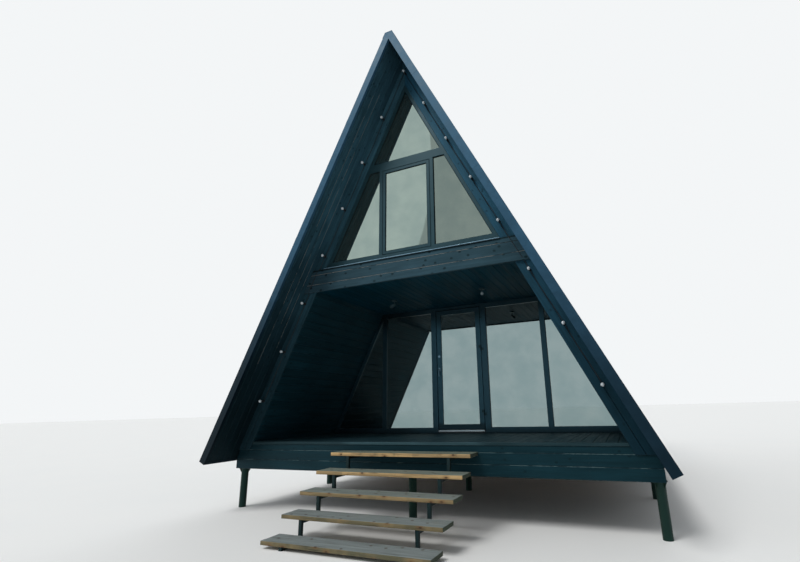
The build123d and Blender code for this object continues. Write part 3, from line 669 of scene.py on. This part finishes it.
def tube(bm, points, radius):
    """A round cable through a row of points."""
    rows = []
    for i, point in enumerate(points):
        ahead = (points[min(i + 1, len(points) - 1)] - points[max(i - 1, 0)]).normalized()
        first = ahead.cross(Vector(LENGTH)).normalized()
        rows.append(circle(point, first, ahead.cross(first), radius, 8))
    skin(bm, rows)


def make(name, bm, material, replaced=(), body="cabin"):
    """An object from a mesh, with its material and body."""
    bmesh.ops.recalc_face_normals(bm, faces=bm.faces)
    mesh = bpy.data.meshes.new(name)
    bm.to_mesh(mesh)
    bm.free()
    piece = bpy.data.objects.new(name, mesh)
    bpy.context.scene.collection.objects.link(piece)
    mesh.materials.append(materials[material])
    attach(piece, body)
    if replaced:
        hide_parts(*replaced)


def dress(node, material, ease, body="cabin"):
    """A CAD node's own shape with eased edges."""
    bm = cad_copy(node)
    ease_edges(bm, ease)
    make(node + "_dressed", bm, material, [node], body)


def finish_node(node, material):
    """A CAD node that keeps its mesh and gets a finished material."""
    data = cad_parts[node].data
    data.materials.clear()
    data.materials.append(materials[material])


def heads(name, spots, normal, height=NAIL_HEIGHT):
    """Screw or nail heads: low domes on a face."""
    bm = bmesh.new()
    profile = [(-height, NAIL_RADIUS), (height * 0.4, NAIL_RADIUS), (height, NAIL_RADIUS * 0.55)]
    for spot in spots:
        turned(bm, profile, spot, normal, 8)
    make(name, bm, "screw_steel")


# Ground works and floor frame

for node in ("front_piles", "inner_piles", "rear_piles"):
    dress(node, "piles_steel", 0.0015)

# Four welded gussets under each pile's head plate, towards its corners; the second outline number
# is the height from the plate
gussets = bmesh.new()
head_half, head_thickness, gusset_half = 0.075, 0.006, 0.003
gusset_shape = ((0.0535, 0), (0.087, 0), (0.087, -0.012), (0.0535, -0.075))
for node, rows in (("front_piles", 1), ("inner_piles", 2), ("rear_piles", 1)):
    low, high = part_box(node)
    for x in (low.x + head_half, 0, high.x - head_half):
        for y in (low.y + head_half, high.y - head_half)[:rows]:
            head = Vector((x, y, high.z - head_thickness))
            for corner in ((1, 1, 0), (-1, 1, 0), (-1, -1, 0), (1, -1, 0)):
                out = Vector(corner).normalized()
                aside = out.cross(Vector(HEIGHT)) * gusset_half
                outline = [head + out * reach + Vector((0, 0, drop)) for reach, drop in gusset_shape]
                loft(gussets, [p - aside for p in outline], [p + aside for p in outline], 0.0008)
make("pile_gussets", gussets, "piles_steel")
for node in ("floor_bearers", "floor_joists"):
    dress(node, "frame_timber", 0.003)

# Skirts: nails in each board, and strips behind and in the two joints
for node in ("front_skirt", "rear_skirt"):
    dress(node, "skirt_timber", 0.004)
skirt_face = FRONT + 0.025
rear_skirt_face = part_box("rear_skirt")[1].y
skirt_board_middles = (DECK_LINE - 0.042, DECK_LINE - 0.156, DECK_LINE - 0.297)
skirt_joints = (DECK_LINE - 0.0855, DECK_LINE - 0.2265)
skirt_reach, nail_reach, nail_rise = 3.07, 2.9, 0.028
spots = []
for middle in skirt_board_middles:
    for x in steps_between(-nail_reach, nail_reach, NAIL_PITCH):
        spots += [Vector((x, skirt_face, middle + z)) for z in (-nail_rise, nail_rise)]
heads("skirt_nails", spots, (0, -1, 0))
backing = bmesh.new()
backing_depth, backing_half_thickness, backing_half_height = 0.012, 0.002, 0.006
for z in skirt_joints:
    reach = min(skirt_reach, slope_x(z, -0.05))
    for y in (skirt_face + backing_depth, rear_skirt_face - backing_depth):
        corner = Vector((reach, backing_half_thickness, backing_half_height))
        block(backing, Vector((0, y, z)) - corner, Vector((0, y, z)) + corner)
make("skirt_tongues", backing, "skirt_timber")
edge_lines = bmesh.new()
for reach, z in zip((2.9, 2.95), skirt_joints):
    tongue(edge_lines, reach, skirt_face, z, TONGUE_HALF * 0.8)
make("skirt_joint_edges", edge_lines, "joint_edge")

# Deck: boards from front to back behind a nosing board, with four screws in each
deck = cad_copy("porch_deck")
deck_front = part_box("porch_deck")[0].y
deck_left, deck_pitch, deck_boards = -2.94, 0.14, 42
nosing_depth, nosing_gap = 0.028, 0.003
boards = cut_between(deck, Vector(LENGTH), deck_front + nosing_depth + nosing_gap, FAR)
boards = split(boards, WIDTH, deck_pitch, gap=0.005, ease=0.002, start=deck_left)
nosing = cut_between(deck, Vector(LENGTH), deck_front - 1, deck_front + nosing_depth)
ease_edges(nosing, 0.003)
deck.free()
make("deck_boards", boards, "deck_timber", ["porch_deck"])
make("deck_nosing_board", nosing, "nosing_timber")
screw_rows, screws_across = (0.12, 0.72, 1.32, 1.92), (0.025, 0.11)
spots = []
for index in range(deck_boards):
    left = deck_left + index * deck_pitch
    for y in screw_rows:
        spots += [Vector((left + x, FRONT + y, DECK_TOP)) for x in screws_across]
heads("deck_screws", spots, (0, 0, 1), NAIL_HEIGHT * 0.6)
room_floor = split(cad_copy("room_floor"), WIDTH, pitch=0.12, gap=0.001, ease=0.0012, start=deck_left)
make("room_floor_boards", room_floor, "floor_timber", ["room_floor"])
finish_node("loft_floor", "floor_timber")

# Slopes: the casings' nails lie in four lines, each a distance below the slope

casing_nail_lines = (-0.025, -0.072, -0.12, -0.178)
for side, name in ((1, "right"), (-1, "left")):
    finish_node(f"{name}_roof_panel", "panel_core")
    finish_node(f"{name}_roof_deck", "roof_deck_timber")
    finish_node(f"{name}_roof_sheet", "roof_metal")
    lining = split(cad_copy(f"{name}_lining"), DOWN[side], pitch=0.14, gap=0.0015, ease=0.004)
    make(f"{name}_lining_boards", lining, f"lining_{name}", [f"{name}_lining"])
    dress(f"{name}_soffit", f"soffit_{name}", 0.004)
    dress(f"{name}_casing", f"casing_{name}", 0.004)
    dress(f"{name}_rear_casing", f"casing_{name}", 0.004)
    spots = []
    for down in steps_between(0.9, 6.6, NAIL_PITCH):
        spots += [slope_point(side, down, offset, FRONT) for offset in casing_nail_lines]
    heads(f"{name}_casing_nails", spots, (0, -1, 0))

# Bare wood in three joints of the left soffit: from and to down the slope, and distance from the gable
tongues = bmesh.new()
soffit_tongue_half = 0.0016
for down_low, down_high, y in ((0.9, 5.6, -0.3575), (0.8, 4.9, -0.2375), (2.2, 5.3, -0.1175)):
    across = (FRONT + y - soffit_tongue_half, FRONT + y + soffit_tongue_half)
    sloping(tongues, -1, (down_low, down_high), (TONGUE_FRONT, TONGUE_BACK), across)
ceiling = split(cad_copy("ceiling"), WIDTH, pitch=0.12, gap=0.0015, ease=0.004, start=-2.4)
make("ceiling_boards", ceiling, "ceiling_timber", ["ceiling"])

# Folded trims: lengths that lap at their joints
lap_outline = ((0, VERGE_LOWEST), (LAP_LENGTH, VERGE_LOWEST), (LAP_LENGTH, VERGE_TOP), (0, VERGE_TOP))
first_lap = {1: 0.9, -1: 1.5}
last_lap = SLOPE_LENGTH - 0.3
verges = (
    ("front_verges", "verge_metal", FRONT - OVERHANG, 1),
    ("rear_verges", "trim_metal", FRONT + BODY_LENGTH + OVERHANG, -1),
)
for name, material, edge, inwards in verges:
    bm = cad_copy(name)
    for vert in bm.verts:
        if abs(vert.co.y - edge) < 1e-4:
            vert.co.y += inwards * LAP_PROUD
    ease_edges(bm, 0.0012)
    for side in (1, -1):
        at = first_lap[side]
        while at < last_lap:
            corners = [slope_point(side, at + a, b, 0) for a, b in lap_outline]
            outline = [(c.x, c.z) for c in corners]
            prism(bm, outline, *sorted((edge, edge + inwards * LAP_PROUD)), 0.0005)
            at += LAP_PITCH
    make(name + "_dressed", bm, material, [name])
for node in ("ridge_cap", "eave_trims"):
    dress(node, "trim_metal", 0.0012)

# Gable: beam, sill and upper window; the beam's joints and nails are placed from its underside

dress("loft_beam", "beam_timber", 0.004)
beam_face = FRONT - BEAM_PROUD
beam_joints = (0.1235, 0.2845)
beam_nail_rows = (0.03, 0.092, 0.155, 0.255, 0.306, 0.342)
for z in (BEAM_BOTTOM + rise for rise in beam_joints):
    tongue(tongues, slope_x(z, -0.006), beam_face, z)
make("bare_tongues", tongues, "bare_tongue")
spots = []
for rise in beam_nail_rows:
    spots += [Vector((x, beam_face, BEAM_BOTTOM + rise)) for x in steps_between(-1.62, 1.62, NAIL_PITCH)]
heads("beam_nails", spots, (0, -1, 0))
dress("window_sill", "sill_metal", 0.0012)
dress("upper_window_frame", "window_frame", 0.003)


def rectangle(x_low, x_high, z_low, z_high):
    """An upright (x, z) rectangle, round from its lower left corner."""
    return [(x_low, z_low), (x_high, z_low), (x_high, z_high), (x_low, z_high)]


def upper_lights():
    """Outlines of the panes in the gable window's frame, apart from the sash."""
    edge = -CASING - WINDOW_EDGE
    mullion = SASH_HALF + MULLION
    right = [
        (mullion, WINDOW_BOTTOM),
        (slope_x(WINDOW_BOTTOM, edge), WINDOW_BOTTOM),
        (slope_x(TRANSOM_BOTTOM, edge), TRANSOM_BOTTOM),
        (mullion, TRANSOM_BOTTOM),
    ]
    left = [(-x, z) for x, z in right]
    top = [(-TOP_HALF, TRANSOM_TOP), (TOP_HALF, TRANSOM_TOP), (0, WINDOW_TIP)]
    return right, left, top


sash_groove, sash_width, seal_width = 0.006, 0.054, 0.007
opening = rectangle(-SASH_HALF, SASH_HALF, SASH_BOTTOM, SASH_TOP)
sash = bmesh.new()
sash_depth = (WINDOW_FRONT + 0.001, WINDOW_FRONT + 0.058)
ring(sash, inset(opening, sash_groove), sash_width - sash_groove, *sash_depth)
bmesh.ops.remove_doubles(sash, verts=sash.verts, dist=MERGED)
ease_edges(sash, 0.003)
make("sash_frame", sash, "window_frame", ["upper_sash"])

seals = bmesh.new()
ring(seals, opening, sash_groove + 0.002, WINDOW_FRONT + 0.009, WINDOW_FRONT + 0.05)
for outline in upper_lights():
    ring(seals, outline, seal_width, WINDOW_FRONT + 0.015, WINDOW_FRONT + 0.023)
ring(seals, inset(opening, sash_width), seal_width, WINDOW_FRONT + 0.010, WINDOW_FRONT + 0.017)
make("upper_window_seals", seals, "gasket")

# Glass wall and door

for node in ("left_glazing_frame", "right_glazing_frame", "door_head"):
    dress(node, "glazing_paint", 0.003)
dress("threshold", "sill_black", 0.0015)

# The threshold's bright plate: a strip up its sloping nose and one on its top
plate = bmesh.new()
plate_half, plate_thickness = 0.437, 0.0008
nose_foot, nose_top, flat_front, flat_back = (
    Vector((0, FRONT + y, DECK_TOP + z))
    for y, z in ((2.1002, 0.0242), (2.1202, 0.0482), (2.1212, 0.0482), (2.1251, 0.0482))
)
for low, high, way in ((nose_foot, nose_top, (0, -0.77, 0.64)), (flat_front, flat_back, HEIGHT)):
    rise = Vector(way) * plate_thickness
    corners = [low, high, high + rise, low + rise]
    loft(plate, *([c + Vector((x, 0, 0)) for c in corners] for x in (-plate_half, plate_half)))
make("threshold_plate", plate, "threshold_metal")
dress("door_leaf", "door_paint", 0.003, "door")
dress("door_handles", "fitting_metal", 0.0012, "door")
dress("door_hinges", "window_frame", 0.0008, "door")
dress("jamb_hinges", "window_frame", 0.0008)
for node in ("upper_glass", "side_glass", "door_glass", "back_glass"):
    finish_node(node, "upper_glass_pane" if node == "upper_glass" else "window_glass")

# Back gable

cladding_pitch, cladding_rows = 0.14, 44
cladding = split(cad_copy("back_cladding"), HEIGHT, cladding_pitch, gap=0.003, ease=0.003, start=DECK_LINE)
make("cladding_boards", cladding, "cladding", ["back_cladding"])
finish_node("back_wall", "panel_core")

# Nails clear of the two windows, each given by its half width, foot and head
back_windows = ((0.86, DECK_LINE + 0.7, DECK_LINE + 2.2), (0.56, DECK_LINE + 2.75, DECK_LINE + 4.2))
least_reach = 0.3
spots = []
for row in range(cladding_rows):
    z = DECK_LINE + (row + 0.5) * cladding_pitch
    reach = slope_x(z, -0.24)
    for x in steps_between(-reach, reach, NAIL_PITCH) if reach > least_reach else ():
        if not any(abs(x) < half and foot < z < head for half, foot, head in back_windows):
            spots.append(Vector((x, FRONT + BODY_LENGTH, z)))
heads("cladding_nails", spots, (0, 1, 0))
dress("back_window_frames", "window_frame", 0.003)

# Stair

random.seed(11)


def plank(bm, low, high):
    """A thick plank with rounded, slightly uneven edges and a hollow in its top."""
    part = bmesh.new()
    bmesh.ops.create_cube(part, size=1.0)
    low, high = Vector(low), Vector(high)
    size = high - low
    for vert in part.verts:
        vert.co = Vector(c * s for c, s in zip(vert.co, size))
    for axis, count in ((Vector(WIDTH), 40), (Vector(LENGTH), 5)):
        span = size.dot(axis)
        for k in range(1, count):
            geom = part.verts[:] + part.edges[:] + part.faces[:]
            at = axis * (k / count - 0.5) * span
            bmesh.ops.bisect_plane(part, geom=geom, plane_co=at, plane_no=axis)
    sharp = [e for e in part.edges if e.calc_face_angle(0) > 1.0]
    bmesh.ops.bevel(part, geom=sharp, offset=0.004, segments=3, profile=0.5, affect="EDGES")
    for face in part.faces:
        face.smooth = True
    phase = [random.uniform(0, 6.28) for _ in range(6)]
    for vert in part.verts:
        x, y, z = vert.co
        share = abs(y) / (size.y / 2)
        uneven = 0.4 + 0.3 * math.sin(9 * x + phase[0]) + 0.3 * math.sin(31 * x + phase[1])
        if share > 0.9:
            vert.co.y -= math.copysign(0.0016 * uneven, y)
        if z > 0:
            vert.co.z -= 0.0012 * (0.5 + 0.5 * math.sin(5 * x + phase[2])) + 0.0015 * (1 - share**2)
        if abs(x) > size.x / 2 - 0.01:
            vert.co.x -= math.copysign(0.001 + 0.001 * math.sin(40 * y + phase[3]), x)
    for vert in part.verts:
        vert.co += (low + high) / 2
    add_to(bm, part)


treads_low, treads_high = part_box("stair_treads")
tread_count, tread_run, tread_rise, tread_depth, tread_thickness = 5, 0.297, 0.1975, 0.29, 0.045
planks = bmesh.new()
for index in range(tread_count):
    front = treads_low.y + (tread_count - 1 - index) * tread_run
    top = treads_high.z - index * tread_rise
    plank(planks, (treads_low.x, front, top - tread_thickness), (treads_high.x, front + tread_depth, top))
make("stair_planks", planks, "tread_timber", ["stair_treads"])
for node in ("left_stringer", "right_stringer"):
    dress(node, "stringer_steel", 0.002)

# Lights

dress("porch_lamps", "lamp_plastic", 0.0015)

# Each lamp's lens: side, then the way it looks in degrees to the right of the front and downwards
lenses = bmesh.new()
lens_profile = [(-0.001, 0.0225), (0.0012, 0.0225), (0.003, 0.019), (0.0045, 0.011), (0.005, 0)]
lamp_aside, lamp_back, lamp_drop, lens_reach = 0.822, 1.13, 0.088, 0.076
for side, turn, tilt in ((-1, -76, 30), (1, 17, 16)):
    turn, tilt = math.radians(turn), math.radians(tilt)
    towards = Vector((math.sin(turn) * math.cos(tilt), -math.cos(turn) * math.cos(tilt), -math.sin(tilt)))
    pivot = Vector((side * lamp_aside, FRONT + lamp_back, CEILING - lamp_drop))
    turned(lenses, lens_profile, pivot + towards * lens_reach, towards, 28)
make("lamp_lenses", lenses, "lens_glass")

# The light string: how far down its first bulb is and how many there are, on the left and the right
bulb_runs = {-1: (1.106, 7), 1: (0.238, 8)}
bulb_offset, bulb_pitch = -0.09, 0.844
bulb_reach, bulb_radius, bulb_neck, neck_angle, bulb_rows = 0.085, 0.0225, (0.0615, 0.0129), 145, 12
holder_profile = [
    (0, 0.0168), (0.004, 0.017), (0.01, 0.0155), (0.034, 0.015), (0.038, 0.0166), (0.058, 0.0166),
    (0.062, 0.0155),
]
globe_profile = [bulb_neck]
for k in range(1, bulb_rows):
    angle = math.radians(neck_angle * (1 - k / bulb_rows))
    globe_profile.append((bulb_reach + bulb_radius * math.cos(angle), bulb_radius * math.sin(angle)))
globe_profile.append((bulb_reach + bulb_radius, 0))
holders, globes = bmesh.new(), bmesh.new()
for side, (first, count) in bulb_runs.items():
    for index in range(count):
        spot = slope_point(side, first + index * bulb_pitch, bulb_offset, FRONT)
        turned(holders, holder_profile, spot)
        turned(globes, globe_profile, spot, steps=24)
cable_radius = 0.0038
cable_lift = cable_radius * 1.15
cable_apex = APEX + bulb_offset / math.cos(PITCH)
random.seed(5)


def cable_run(side):
    """The cable down one casing from the apex to the last bulb, stepping out over the loft beam."""
    first, count = bulb_runs[side]
    beam_margin = 0.02
    points = []
    for down in steps_between(0.2, first + (count - 1) * bulb_pitch, 0.07):
        spot = slope_point(side, down, bulb_offset, FRONT - cable_lift)
        spot += OUT[side] * 0.006 * math.sin(7.44 * down + side) * random.uniform(0.3, 1.0)
        near = min(spot.z - (BEAM_BOTTOM - beam_margin), BEAM_TOP + beam_margin - spot.z)
        spot.y -= BEAM_PROUD * min(1, max(0, near / beam_margin))
        points.append(spot)
    return points


left_run, right_run = cable_run(-1), cable_run(1)
top_turn = Vector((0, FRONT - cable_lift, cable_apex - 0.01))
tube(holders, left_run[::-1] + [top_turn] + right_run, cable_radius)
make("festoon_cable_and_holders", holders, "holder_rubber", ["bulb_holders"])
make("globes", globes, "bulb_glass", ["bulbs"])

# Stage, light and camera

floor_half = 400.0
floor_mesh = bpy.data.meshes.new("floor")
floor_corners = [(x * floor_half, y * floor_half, 0) for x, y in ((-1, -1), (1, -1), (1, 1), (-1, 1))]
floor_mesh.from_pydata(floor_corners, [], [(0, 1, 2, 3)])
floor = bpy.data.objects.new("floor", floor_mesh)
bpy.context.scene.collection.objects.link(floor)
ground = Finish("floor_paint", Roughness=0.9)
floor_colour = ground.mix(ground.noise(ground.place, 0.6, 3.0), (0.80, 0.81, 0.81), (0.83, 0.83, 0.82))
ground.put(ground.shader.inputs["Base Color"], floor_colour)
floor_mesh.materials.append(ground.material)

# The world lights the object softly, and the camera and the mirrors see a pale backdrop
world = bpy.data.worlds.new("studio")
bpy.context.scene.world = world
world.use_nodes = True
sky = Tree(world.node_tree)
rays = sky.add("ShaderNodeLightPath").outputs
seen = sky.math("MAXIMUM", rays["Is Camera Ray"], rays["Is Glossy Ray"])
seen = sky.math("MAXIMUM", seen, rays["Is Transmission Ray"])
ambient = sky.add("ShaderNodeBackground", {"Color": (0.93, 0.97, 1.0), "Strength": 0.4})
backdrop = sky.add("ShaderNodeBackground", {"Color": (0.90, 0.92, 0.93), "Strength": 1.0})
choose = sky.add("ShaderNodeMixShader", {0: seen, 1: ambient.outputs[0], 2: backdrop.outputs[0]})
sky.add("ShaderNodeOutputWorld", {0: choose.outputs[0]})


def sun(name, towards, strength, spread, colour):
    """A soft far light that shines in a direction."""
    data = bpy.data.lights.new(name, "SUN")
    data.energy = strength
    data.angle = math.radians(spread)
    data.color = colour
    lamp = bpy.data.objects.new(name, data)
    lamp.rotation_euler = Vector(towards).to_track_quat("-Z", "Y").to_euler()
    bpy.context.scene.collection.objects.link(lamp)


sun("key", (0.29, 0.58, -0.82), 1.75, 25, (1.0, 0.99, 0.97))
sun("fill", (0.8, 0.5, -0.5), 0.5, 60, (0.95, 0.98, 1.0))
sun("back", (0.2, -0.9, -0.6), 0.5, 60, (0.97, 0.98, 1.0))

# The camera's place is measured from the middle of the gable at the deck line
camera_place = Vector((2.8391, FRONT - 5.4679, DECK_LINE + 0.4573))
yaw, pitch, roll = -0.3976, 0.2651, -0.0280
image_width, focal_length, shift_left, shift_up = 800.0, 430.43, 39.8, 11.26
forward = Vector((math.sin(yaw) * math.cos(pitch), math.cos(yaw) * math.cos(pitch), math.sin(pitch)))
level = Vector((math.cos(yaw), -math.sin(yaw), 0))
upright = level.cross(forward)
right = level * math.cos(roll) + upright * math.sin(roll)
up = upright * math.cos(roll) - level * math.sin(roll)
camera_data = bpy.data.cameras.new("camera")
camera_data.sensor_width = 36.0
camera_data.lens = focal_length * camera_data.sensor_width / image_width
camera_data.shift_x = -shift_left / image_width
camera_data.shift_y = shift_up / image_width
camera = bpy.data.objects.new("camera", camera_data)
turned_to = Matrix((right, up, -forward)).transposed().to_4x4()
camera.matrix_world = Matrix.Translation(camera_place) @ turned_to
bpy.context.scene.collection.objects.link(camera)
bpy.context.scene.camera = camera
bpy.context.scene.view_settings.view_transform = "Standard"
